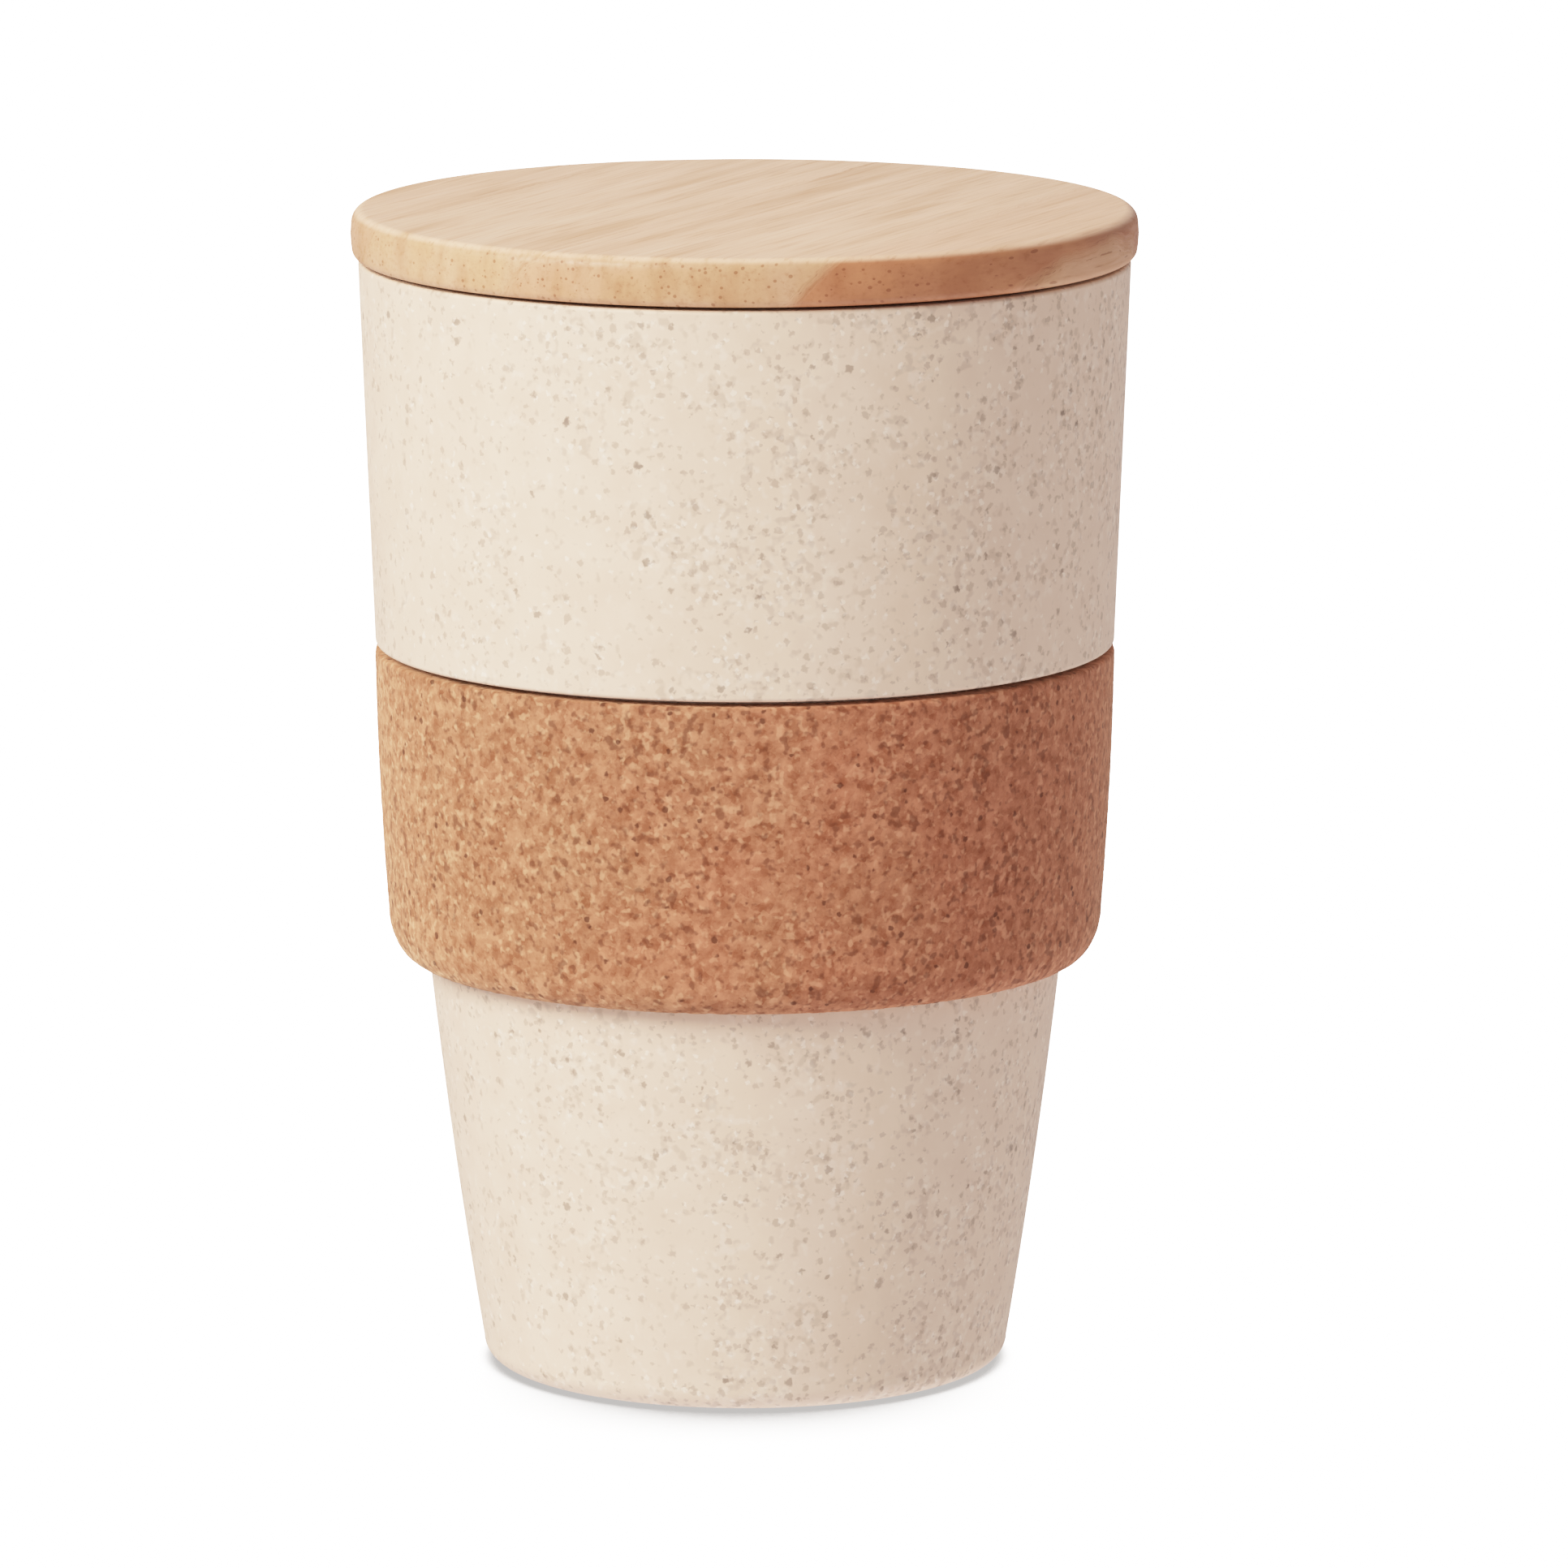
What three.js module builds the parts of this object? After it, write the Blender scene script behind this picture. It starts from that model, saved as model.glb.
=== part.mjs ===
// Double-wall travel mug: a speckled moulded cup, a cork sleeve round its waist and a push-in bamboo lid.
// Every piece is turned about the Z axis. The table is the plane z = 0, and lengths are in millimetres.

import * as THREE from 'three';

// Cup, outside
const rimRadius = 45; // outside of the drinking rim
const rimHeight = 130.7; // table to rim
const rimRound = 0.8; // outer and inner edge of the rim
const wallDraft = 2.27; // degrees that the wall above the cork leans outwards
const waistHeight = 85.65; // table to the ledge over the cork
const ledgeDepth = 2.9; // how far the body steps in under the ledge
const ledgeRound = 0.6; // lower outer edge of the ledge
const footRadius = 30.4; // where the bowed side would meet the table
const sideBow = 1.12; // how far the side under the ledge bows out from a straight taper
const footRound = 2.8; // edge between the side and the table

// Cup, underside
const footRingWidth = 2.2; // flat ring that the mug stands on
const footRecess = 1.5; // depth of the underside within the ring
const recessSlope = 1.4; // width of the sloping wall between ring and recess
const gateRadius = 4; // moulding-gate dimple at the middle of the underside
const gateDepth = 0.6;

// Cup, walls
const shellWall = 2;
const linerWall = 1.8;
const weldGap = 0.1; // between pieces that are welded, glued or sprung together
const weldFlange = 3; // height of the liner's flange in the rim
const weldFlangeWidth = 1; // how far the flange reaches into the shell's wall
const stepRound = 1; // both corners of the step inside the shell
const shellFloorRound = 4; // inside corner at the shell's floor
const waistAirGap = 0.5; // liner to shell where the shell is narrowest round it
const footAirGap = 0.8; // liner to shell beside the liner's floor
const floorAirGap = 2.5; // liner to shell under the liner's floor
const bossRadius = 9; // pad on the shell's floor that backs the liner's floor
const bossGap = 0.3;
const linerFloorRound = 6; // inside corner at the bottom of the drink
const shoulderStep = 1.2; // how far the liner steps in under the seal's land
const shoulderRound = 0.8;

// Cork sleeve
const sleeveHeight = 36.4;
const sleeveSlip = 0.25; // running gap between cork and body
const seamGap = 0.55; // shadow line between cork and ledge
const sleeveProud = 0.08; // how far the cork stands out past the ledge
const sleeveBow = 0.35; // how far its outside bows out from a straight taper
const hemThickness = 4; // cork at the hem
const hemRoundAcross = 3.3; // the hem's rounding, measured along the radius
const hemRoundUp = 5.8; // and along the height
const sleeveTopRound = 0.5;

// Bamboo lid
const lidOverhang = 1; // past the rim, all round
const lidThickness = 5.6;
const lidSeatGap = 0.4; // shadow line between lid and rim
const lidEdgeBow = 0.35; // how far the lid's edge swells at mid thickness
const lidEdgeRound = 10; // radius of that swell
const lidTopRound = 1.5;
const lidUnderRound = 1.1;

// Lid plug and gasket
const plugDepth = 8; // below the lid's underside
const plugRoom = 2; // from the plug down to the liner's shoulder
const plugGap = 1.4; // plug to liner at the plug's lower edge
const plugWall = 2;
const plugFloor = 1.8;
const plugRound = 1.2;
const grooveTopLip = 1.4; // plug above the groove
const grooveHeight = 4.4;
const grooveDepth = 1.8;
const gasketBand = 1.2; // thickness of the gasket's band
const gasketGap = 0.3; // fin tips to liner
const finCount = 2;
const finRoot = 1; // thickness of a fin where it leaves the band
const finTip = 0.4;
const finRise = 0.5; // how far a fin's tip lies above its root

// How finely round shapes are cut
const turnSegments = 48;
const roundStep = THREE.MathUtils.degToRad(30);
const roundRoom = 0.45; // the most of an edge that the round at one of its ends may take
const bowSteps = 6;
const hemSteps = 5;
const edgeSteps = 4;

// Values worked out from the sizes above
const wallSlope = Math.tan(THREE.MathUtils.degToRad(wallDraft));
const ledgeRadius = wallRadius(waistHeight);
const waistRadius = ledgeRadius - ledgeDepth;
const shellFloorTop = footRecess + shellWall;
const stepHeight = waistHeight + shellWall;
const flangeSeat = rimHeight - weldFlange;
const flangeSeatRadius = rimRadius - shellWall + weldFlangeWidth;
const linerUnderside = shellFloorTop + floorAirGap;
const linerFloor = linerUnderside + linerWall;
const lidUnderside = rimHeight + lidSeatGap;
const lidTop = lidUnderside + lidThickness;
const lidRadius = rimRadius + lidOverhang;
const plugUnderside = lidUnderside - plugDepth;
const shoulderHeight = plugUnderside - plugRoom;
const plugRadius = landRadius(plugUnderside) - plugGap;
const grooveRadius = plugRadius - grooveDepth;
const grooveTop = lidUnderside - weldGap - grooveTopLip;
const grooveBottom = grooveTop - grooveHeight;
const plugBore = grooveRadius - plugWall;
const sleeveTop = waistHeight - seamGap;
const sleeveBottom = sleeveTop - sleeveHeight;

// Outside of the wall above the ledge
function wallRadius(z) {
  return rimRadius - (rimHeight - z) * wallSlope;
}

// Rise above a straight line that is 0 at both ends and bow at the middle
function bowAt(share, bow) {
  return 4 * bow * share * (1 - share);
}

// Outside of the bowed side under the ledge
function sideRadius(z) {
  const share = z / waistHeight;
  return THREE.MathUtils.lerp(footRadius, waistRadius, share) + bowAt(share, sideBow);
}

// Inside of the liner above its shoulder, where the gasket grips
function landRadius(z) {
  return wallRadius(z) - shellWall - weldGap - linerWall;
}

// A section is a list of corners in the half plane of radius r and height z.
// Listed from the lower axis round the outside to the upper axis, it encloses the material on its left.
function corner(r, z, round = 0) {
  return { at: new THREE.Vector2(r, z), round };
}

// Points along a curve of radius against height, both ends included
function stations(fromZ, toZ, steps, radiusAt) {
  const points = [];
  for (let i = 0; i <= steps; i += 1) {
    const z = THREE.MathUtils.lerp(fromZ, toZ, i / steps);
    points.push(corner(radiusAt(z), z));
  }
  return points;
}

// Points of the arc that rounds one corner between its two neighbours
function roundedCorner(before, here, after) {
  const back = before.clone().sub(here.at);
  const ahead = after.clone().sub(here.at);
  const room = roundRoom * Math.min(back.length(), ahead.length());
  back.normalize();
  ahead.normalize();
  const halfAngle = Math.acos(THREE.MathUtils.clamp(back.dot(ahead), -1, 1)) / 2;
  const tangent = Math.min(here.round / Math.tan(halfAngle), room);
  const radius = tangent * Math.tan(halfAngle);
  const toCentre = back.clone().add(ahead).setLength(radius / Math.sin(halfAngle));
  const centre = here.at.clone().add(toCentre);
  const start = here.at.clone().addScaledVector(back, tangent).sub(centre);
  const turn = Math.PI - 2 * halfAngle;
  const way = Math.sign(ahead.cross(back));
  const steps = Math.max(1, Math.ceil(turn / roundStep));
  const points = [];
  for (let i = 0; i <= steps; i += 1) {
    const angle = (way * turn * i) / steps;
    points.push(start.clone().rotateAround(new THREE.Vector2(), angle).add(centre));
  }
  return points;
}

// Corners to outline points, with every rounded corner turned into its arc
function outline(corners) {
  const points = [];
  corners.forEach((here, i) => {
    if (here.round === 0) {
      points.push(here.at.clone());
      return;
    }
    const before = corners[(i + corners.length - 1) % corners.length].at;
    const after = corners[(i + 1) % corners.length].at;
    points.push(...roundedCorner(before, here, after));
  });
  return points;
}

// A section that starts and ends on the axis, turned into a solid
function turnedSolid(corners) {
  const geometry = new THREE.LatheGeometry(outline(corners), turnSegments);
  return geometry.rotateX(Math.PI / 2);
}

// A section clear of the axis, turned into a ring
function turnedRing(corners) {
  const points = outline(corners);
  points.push(points[0].clone());
  const geometry = new THREE.LatheGeometry(points, turnSegments);
  return geometry.rotateX(Math.PI / 2);
}

function piece(name, geometry, look) {
  const mesh = new THREE.Mesh(geometry, new THREE.MeshStandardMaterial(look));
  mesh.name = name;
  return mesh;
}

// Outer shell: the wall, its ledge, the bowed side and the foot, all one wall thick
function outerShell() {
  const ringOuter = footRadius - footRound;
  const ringInner = ringOuter - footRingWidth;
  const recessRadius = ringInner - recessSlope;
  const gateTop = footRecess + gateDepth;
  const bossTop = linerUnderside - bossGap;
  const innerSide = (z) => sideRadius(z) - shellWall;
  const innerWall = (z) => wallRadius(z) - shellWall;
  const outside = stations(footRound, waistHeight, bowSteps, sideRadius);
  const inside = stations(waistHeight, shellFloorTop + shellFloorRound, bowSteps, innerSide);
  return turnedSolid([
    corner(0, gateTop),
    corner(gateRadius, gateTop),
    corner(gateRadius, footRecess),
    corner(recessRadius, footRecess),
    corner(ringInner, 0),
    ...footEdge(ringOuter, outside[0].at),
    ...outside,
    corner(ledgeRadius, waistHeight, ledgeRound),
    corner(rimRadius, rimHeight, rimRound),
    corner(flangeSeatRadius, rimHeight),
    corner(flangeSeatRadius, flangeSeat),
    corner(innerWall(flangeSeat), flangeSeat),
    corner(innerWall(stepHeight), stepHeight, stepRound),
    corner(innerSide(waistHeight), stepHeight, stepRound),
    ...inside,
    ...floorCorner(inside.at(-1).at),
    corner(bossRadius, shellFloorTop),
    corner(bossRadius, bossTop),
    corner(0, bossTop),
  ]);
}

// Quarter arc from the foot ring to the start of the side
function footEdge(ringOuter, sideStart) {
  const across = sideStart.x - ringOuter;
  const points = [];
  for (let i = 0; i < edgeSteps; i += 1) {
    const angle = (Math.PI / 2) * (i / edgeSteps);
    points.push(corner(ringOuter + across * Math.sin(angle), footRound * (1 - Math.cos(angle))));
  }
  return points;
}

// Quarter arc from the inner side to the shell's floor
function floorCorner(sideEnd) {
  const points = [];
  for (let i = 1; i <= edgeSteps; i += 1) {
    const angle = (Math.PI / 2) * (i / edgeSteps);
    const r = sideEnd.x - shellFloorRound * (1 - Math.cos(angle));
    points.push(corner(r, sideEnd.y - shellFloorRound * Math.sin(angle)));
  }
  return points;
}

// Inner liner: a smooth cup that hangs by its flange in the rim and narrows past the shell's step
function innerLiner() {
  const flangeRadius = flangeSeatRadius - weldGap;
  const flangeUnderside = flangeSeat + weldGap;
  const landOutside = (z) => landRadius(z) + linerWall;
  const neckRadius = landRadius(shoulderHeight) - shoulderStep;
  const neckHeight = shoulderHeight - shoulderStep;
  const waistInside = waistRadius - shellWall - waistAirGap - linerWall;
  const floorRadius = sideRadius(linerUnderside) - shellWall - footAirGap - linerWall;
  const shoulderDrop = linerWall * Math.tan(Math.PI / 8);
  return turnedSolid([
    corner(0, linerUnderside),
    corner(floorRadius + linerWall, linerUnderside, linerFloorRound + linerWall),
    corner(waistInside + linerWall, stepHeight),
    corner(neckRadius + linerWall, neckHeight - shoulderDrop, shoulderRound),
    corner(landOutside(shoulderHeight), shoulderHeight - shoulderDrop, shoulderRound),
    corner(landOutside(flangeUnderside), flangeUnderside),
    corner(flangeRadius, flangeUnderside),
    corner(flangeRadius, rimHeight),
    corner(landRadius(rimHeight), rimHeight, rimRound),
    corner(landRadius(shoulderHeight), shoulderHeight, shoulderRound),
    corner(neckRadius, neckHeight, shoulderRound),
    corner(waistInside, stepHeight),
    corner(floorRadius, linerFloor, linerFloorRound),
    corner(0, linerFloor),
  ]);
}

// Cork sleeve: its bore follows the side of the body, and its hem is an elliptic round
function corkSleeve() {
  const bore = (z) => sideRadius(z) + sleeveSlip;
  const topRadius = ledgeRadius + sleeveProud;
  const hemRadius = bore(sleeveBottom) + hemThickness;
  const outside = (z) => {
    const share = (z - sleeveBottom) / sleeveHeight;
    return THREE.MathUtils.lerp(hemRadius, topRadius, share) + bowAt(share, sleeveBow);
  };
  const hemTop = sleeveBottom + hemRoundUp;
  const hemCentre = outside(hemTop) - hemRoundAcross;
  const hem = [];
  for (let i = 0; i < hemSteps; i += 1) {
    const angle = (Math.PI / 2) * (i / hemSteps);
    const r = hemCentre + hemRoundAcross * Math.sin(angle);
    hem.push(corner(r, hemTop - hemRoundUp * Math.cos(angle)));
  }
  const outer = stations(hemTop, sleeveTop, bowSteps, outside);
  outer.at(-1).round = sleeveTopRound;
  return turnedRing([...hem, ...outer, ...stations(sleeveTop, sleeveBottom, bowSteps, bore)]);
}

// Lid disc: one turned bamboo board, with a spigot below that fills the plug
function lidDisc() {
  const faceRadius = lidRadius - lidEdgeBow;
  const spigotRadius = plugBore - weldGap;
  const spigotBottom = plugUnderside + plugFloor + weldGap;
  return turnedSolid([
    corner(0, spigotBottom),
    corner(spigotRadius, spigotBottom),
    corner(spigotRadius, lidUnderside),
    corner(faceRadius, lidUnderside, lidUnderRound),
    corner(lidRadius, lidUnderside + lidThickness / 2, lidEdgeRound),
    corner(faceRadius, lidTop, lidTopRound),
    corner(0, lidTop),
  ]);
}

// Lid plug: a shallow moulded cap over the spigot, grooved for the gasket
function lidPlug() {
  const top = lidUnderside - weldGap;
  return turnedSolid([
    corner(0, plugUnderside),
    corner(plugRadius, plugUnderside, plugRound),
    corner(plugRadius, grooveBottom),
    corner(grooveRadius, grooveBottom),
    corner(grooveRadius, grooveTop),
    corner(plugRadius, grooveTop),
    corner(plugRadius, top),
    corner(plugBore, top),
    corner(plugBore, plugUnderside + plugFloor),
    corner(0, plugUnderside + plugFloor),
  ]);
}

// Lid gasket: a band in the plug's groove with wiper fins that reach for the liner
function lidGasket() {
  const bottom = grooveBottom + weldGap;
  const top = grooveTop - weldGap;
  const inner = grooveRadius + weldGap;
  const band = inner + gasketBand;
  const pitch = (top - bottom) / finCount;
  const fins = [];
  for (let i = 0; i < finCount; i += 1) {
    const root = bottom + pitch * (i + 0.5) - finRise / 2;
    const tip = root + finRise;
    const reach = landRadius(tip) - gasketGap;
    fins.push(corner(band, root - finRoot / 2));
    fins.push(corner(reach, tip - finTip / 2));
    fins.push(corner(reach, tip + finTip / 2));
    fins.push(corner(band, root + finRoot / 2));
  }
  return turnedRing([
    corner(inner, bottom),
    corner(band, bottom),
    ...fins,
    corner(band, top),
    corner(inner, top),
  ]);
}

const mug = new THREE.Group();
mug.add(
  piece('outer_shell', outerShell(), { color: 0xe8dccb, roughness: 0.6, metalness: 0 }),
  piece('inner_liner', innerLiner(), { color: 0xe6dac9, roughness: 0.5, metalness: 0 }),
  piece('cork_sleeve', corkSleeve(), { color: 0xbd855c, roughness: 0.9, metalness: 0 }),
  piece('lid_disc', lidDisc(), { color: 0xdcb98d, roughness: 0.55, metalness: 0 }),
  piece('lid_plug', lidPlug(), { color: 0xf0ebe1, roughness: 0.45, metalness: 0 }),
  piece('lid_gasket', lidGasket(), { color: 0xe9e7e2, roughness: 0.4, metalness: 0 }),
);

export default mug;
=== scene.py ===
import math

import bpy
import numpy as np
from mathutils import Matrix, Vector, noise


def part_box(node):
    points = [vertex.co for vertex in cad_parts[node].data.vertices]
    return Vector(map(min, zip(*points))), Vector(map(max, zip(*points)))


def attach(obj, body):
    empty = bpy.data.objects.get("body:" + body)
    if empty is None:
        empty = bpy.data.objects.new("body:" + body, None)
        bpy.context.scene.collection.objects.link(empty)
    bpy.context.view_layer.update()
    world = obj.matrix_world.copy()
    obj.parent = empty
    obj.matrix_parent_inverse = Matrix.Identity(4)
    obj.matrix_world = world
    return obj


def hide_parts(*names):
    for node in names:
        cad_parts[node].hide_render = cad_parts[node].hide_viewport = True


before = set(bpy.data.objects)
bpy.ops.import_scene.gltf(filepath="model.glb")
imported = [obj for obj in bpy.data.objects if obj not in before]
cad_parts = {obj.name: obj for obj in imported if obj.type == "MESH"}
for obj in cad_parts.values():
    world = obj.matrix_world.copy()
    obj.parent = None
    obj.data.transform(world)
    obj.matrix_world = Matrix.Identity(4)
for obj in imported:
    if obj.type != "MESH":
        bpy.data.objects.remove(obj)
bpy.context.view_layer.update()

MM = 0.001

# Sizes read from the frame
_, SHELL_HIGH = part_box("outer_shell")
LINER_LOW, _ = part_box("inner_liner")
SLEEVE_LOW, SLEEVE_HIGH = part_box("cork_sleeve")
DISC_LOW, DISC_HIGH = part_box("lid_disc")
PLUG_LOW, PLUG_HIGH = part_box("lid_plug")
GASKET_LOW, GASKET_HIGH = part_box("lid_gasket")
RIM_RADIUS = SHELL_HIGH[0]
RIM_HEIGHT = SHELL_HIGH[2]
SLEEVE_TOP = SLEEVE_HIGH[2]
SLEEVE_BOTTOM = SLEEVE_LOW[2]
LID_TOP = DISC_HIGH[2]
EDGE_CORNER = 0.075 * MM  # what the round of the lid's edge takes off its drawn corner
LID_RADIUS = DISC_HIGH[0] + EDGE_CORNER

# Cup sizes that a box can't tell
WALL_DRAFT = math.radians(2.27)
LEDGE_GAP = 0.55 * MM
WAIST_HEIGHT = SLEEVE_TOP + LEDGE_GAP
LEDGE_DEPTH = 2.9 * MM
LEDGE_ROUND = 0.6 * MM
FOOT_RADIUS = 30.4 * MM
SIDE_BOW = 1.12 * MM
FOOT_ROUND = 2.8 * MM
FOOT_RING = 2.2 * MM
FOOT_RECESS = 1.5 * MM
RECESS_SLOPE = 1.4 * MM
RECESS_ROUND = 0.6 * MM
RING_ROUND = 0.4 * MM
GATE_RADIUS = 4 * MM
GATE_DEPTH = 0.6 * MM
GATE_ROUND = 0.2 * MM
RIM_ROUND = 0.8 * MM
SHELL_WALL = 2 * MM
LINER_WALL = 1.8 * MM
WELD_GAP = 0.1 * MM
WELD_ROUND = 0.1 * MM
FLANGE_HEIGHT = 3 * MM
FLANGE_WIDTH = 1 * MM
STEP_ROUND = 1 * MM
SHELL_FLOOR_ROUND = 4 * MM
WAIST_AIR = 0.5 * MM
FOOT_AIR = 0.8 * MM
BOSS_RADIUS = 9 * MM
BOSS_GAP = 0.3 * MM
LINER_FLOOR_ROUND = 6 * MM
SHOULDER_STEP = 1.2 * MM
SHOULDER_ROUND = 0.8 * MM
PLUG_ROOM = 2 * MM

# Sleeve sizes
SLEEVE_SLIP = 0.25 * MM
SLEEVE_PROUD = 0.08 * MM
SLEEVE_BOW = 0.35 * MM
HEM_THICKNESS = 4 * MM
HEM_ACROSS = 3.3 * MM
HEM_UP = 5.8 * MM
SLEEVE_TOP_ROUND = 0.5 * MM

# Lid sizes
LID_SEAT_GAP = 0.4 * MM
LID_EDGE_BOW = 0.35 * MM
LID_EDGE_ROUND = 10 * MM
LID_TOP_ROUND = 1.5 * MM
LID_UNDER_ROUND = 1.1 * MM
SPIGOT_ROUND = 0.3 * MM
PLUG_WALL = 2 * MM
PLUG_FLOOR = 1.8 * MM
PLUG_ROUND = 1.2 * MM
GROOVE_LIP = 1.4 * MM
GROOVE_HEIGHT = 4.4 * MM
GROOVE_DEPTH = 1.8 * MM
GROOVE_ROUND = 0.25 * MM
GASKET_BAND = 1.2 * MM
GASKET_GAP = 0.3 * MM
FIN_COUNT = 2
FIN_ROOT = 1 * MM
FIN_TIP = 0.4 * MM
FIN_RISE = 0.5 * MM
FIN_TIP_ROUND = 0.15 * MM

# How finely the pieces are turned
TURN_STEPS = 288
ROUND_STEP = math.radians(9)
ROUND_ROOM = 0.48
SIDE_STEPS = 48
FOOT_STEPS = 12
INNER_SIDE_STEPS = 12
INNER_FOOT_STEPS = 8
SHARP_ANGLE = math.radians(35)
AXIS_REACH = 1e-7  # a point nearer the axis lies on it

# Values worked out from the sizes above
WALL_SLOPE = math.tan(WALL_DRAFT)
LID_UNDERSIDE = RIM_HEIGHT + LID_SEAT_GAP
LID_MIDDLE = LID_UNDERSIDE + (LID_TOP - LID_UNDERSIDE) / 2
PLUG_UNDERSIDE = PLUG_LOW[2]
LINER_UNDERSIDE = LINER_LOW[2]


def wall_radius(z):
    """Outside of the wall above the ledge."""
    return RIM_RADIUS - (RIM_HEIGHT - z) * WALL_SLOPE


LEDGE_RADIUS = wall_radius(WAIST_HEIGHT)
WAIST_RADIUS = LEDGE_RADIUS - LEDGE_DEPTH


def lerp(a, b, share):
    return a + (b - a) * share


def bow_at(share, bow):
    return 4 * bow * share * (1 - share)


def side_radius(z):
    """Outside of the bowed side under the ledge."""
    share = z / WAIST_HEIGHT
    return lerp(FOOT_RADIUS, WAIST_RADIUS, share) + bow_at(share, SIDE_BOW)


def land_radius(z):
    """Inside of the liner above its shoulder, where the gasket grips."""
    return wall_radius(z) - SHELL_WALL - WELD_GAP - LINER_WALL


# Turned meshes

def rounded(corners):
    """Outline points (r, z) of corners (r, z, round), with each round as an arc."""
    points = []
    for i, (r, z, radius) in enumerate(corners):
        here = Vector((r, z))
        if radius == 0:
            points.append(here)
            continue
        back = Vector(corners[i - 1][:2]) - here
        ahead = Vector(corners[(i + 1) % len(corners)][:2]) - here
        room = ROUND_ROOM * min(back.length, ahead.length)
        back.normalize()
        ahead.normalize()
        half = math.acos(max(-1.0, min(1.0, back.dot(ahead)))) / 2
        tangent = min(radius / math.tan(half), room)
        radius = tangent * math.tan(half)
        centre = here + (back + ahead).normalized() * (radius / math.sin(half))
        start = here + back * tangent - centre
        turn = math.pi - 2 * half
        way = 1 if ahead.x * back.y - ahead.y * back.x > 0 else -1
        steps = max(2, math.ceil(turn / ROUND_STEP))
        for k in range(steps + 1):
            angle = way * turn * k / steps
            across = start.x * math.cos(angle) - start.y * math.sin(angle)
            up = start.x * math.sin(angle) + start.y * math.cos(angle)
            points.append(centre + Vector((across, up)))
    return points


def stations(start, stop, steps, radius_at):
    """Corners along a curve of radius against height, both ends included."""
    heights = [lerp(start, stop, i / steps) for i in range(steps + 1)]
    return [(radius_at(z), z, 0) for z in heights]


def turned_mesh(name, points, steps=TURN_STEPS):
    """A mesh turned about Z from outline points. Ends on the axis become poles, and other outlines close."""
    on_axis = points[0].x < AXIS_REACH
    rings = points[1:-1] if on_axis else points
    angles = np.arange(steps) * (2 * math.pi / steps)
    radius = np.array([p.x for p in rings])[:, None]
    height = np.array([p.y for p in rings])[:, None]
    grid = np.stack(np.broadcast_arrays(radius * np.cos(angles), radius * np.sin(angles), height), -1)
    verts = [tuple(v) for v in grid.reshape(-1, 3)]
    faces = []
    last = len(rings) - 1 if on_axis else len(rings)
    for i in range(last):
        low, high = i * steps, (i + 1) % len(rings) * steps
        for j in range(steps):
            k = (j + 1) % steps
            faces.append((low + j, low + k, high + k, high + j))
    if on_axis:
        for pole, ring, forward in ((points[0], 0, False), (points[-1], len(rings) - 1, True)):
            centre = len(verts)
            verts.append((0, 0, pole.y))
            for j in range(steps):
                k = (j + 1) % steps
                a, b = ring * steps + j, ring * steps + k
                faces.append((centre, a, b) if forward else (centre, b, a))
    mesh = bpy.data.meshes.new(name)
    mesh.from_pydata(verts, [], faces)
    mesh.shade_smooth()
    mesh.set_sharp_from_angle(angle=SHARP_ANGLE)
    return mesh


def piece(name, mesh, material, body):
    """One piece that stands for the node of the same name and rides on its body."""
    mesh.materials.append(material)
    obj = bpy.data.objects.new(name + "_visual", mesh)
    bpy.context.collection.objects.link(obj)
    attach(obj, body)
    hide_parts(name)


def quarter(start, across, up, steps):
    """Corners of a quarter ellipse that turns from level to upright."""
    corners = []
    for i in range(steps + 1):
        angle = math.pi / 2 * i / steps
        corners.append((start[0] + across * math.sin(angle), start[1] + up * (1 - math.cos(angle)), 0))
    return corners


def shell_mesh():
    ring_outer = FOOT_RADIUS - FOOT_ROUND
    ring_inner = ring_outer - FOOT_RING
    gate_top = FOOT_RECESS + GATE_DEPTH
    floor_top = FOOT_RECESS + SHELL_WALL
    step_height = WAIST_HEIGHT + SHELL_WALL
    seat = RIM_HEIGHT - FLANGE_HEIGHT
    seat_radius = RIM_RADIUS - SHELL_WALL + FLANGE_WIDTH
    boss_top = LINER_UNDERSIDE - BOSS_GAP
    inner_end = floor_top + SHELL_FLOOR_ROUND

    def inner_side(z):
        return side_radius(z) - SHELL_WALL

    foot = quarter((ring_outer, 0), side_radius(FOOT_ROUND) - ring_outer, FOOT_ROUND, FOOT_STEPS)[:-1]
    inner_start = (inner_side(inner_end) - SHELL_FLOOR_ROUND, floor_top)
    inner_foot = quarter(inner_start, SHELL_FLOOR_ROUND, SHELL_FLOOR_ROUND, INNER_FOOT_STEPS)[-2::-1]
    corners = [
        (0, gate_top, 0),
        (GATE_RADIUS, gate_top, GATE_ROUND),
        (GATE_RADIUS, FOOT_RECESS, GATE_ROUND),
        (ring_inner - RECESS_SLOPE, FOOT_RECESS, RECESS_ROUND),
        (ring_inner, 0, RING_ROUND),
        *foot,
        *stations(FOOT_ROUND, WAIST_HEIGHT, SIDE_STEPS, side_radius),
        (LEDGE_RADIUS, WAIST_HEIGHT, LEDGE_ROUND),
        (RIM_RADIUS, RIM_HEIGHT, RIM_ROUND),
        (seat_radius, RIM_HEIGHT, WELD_ROUND),
        (seat_radius, seat, 0),
        (wall_radius(seat) - SHELL_WALL, seat, 0),
        (wall_radius(step_height) - SHELL_WALL, step_height, STEP_ROUND),
        (inner_side(WAIST_HEIGHT), step_height, STEP_ROUND),
        *stations(WAIST_HEIGHT, inner_end, INNER_SIDE_STEPS, inner_side),
        *inner_foot,
        (BOSS_RADIUS, floor_top, 0),
        (BOSS_RADIUS, boss_top, 0),
        (0, boss_top, 0),
    ]
    return turned_mesh("outer_shell", rounded(corners))


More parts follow.
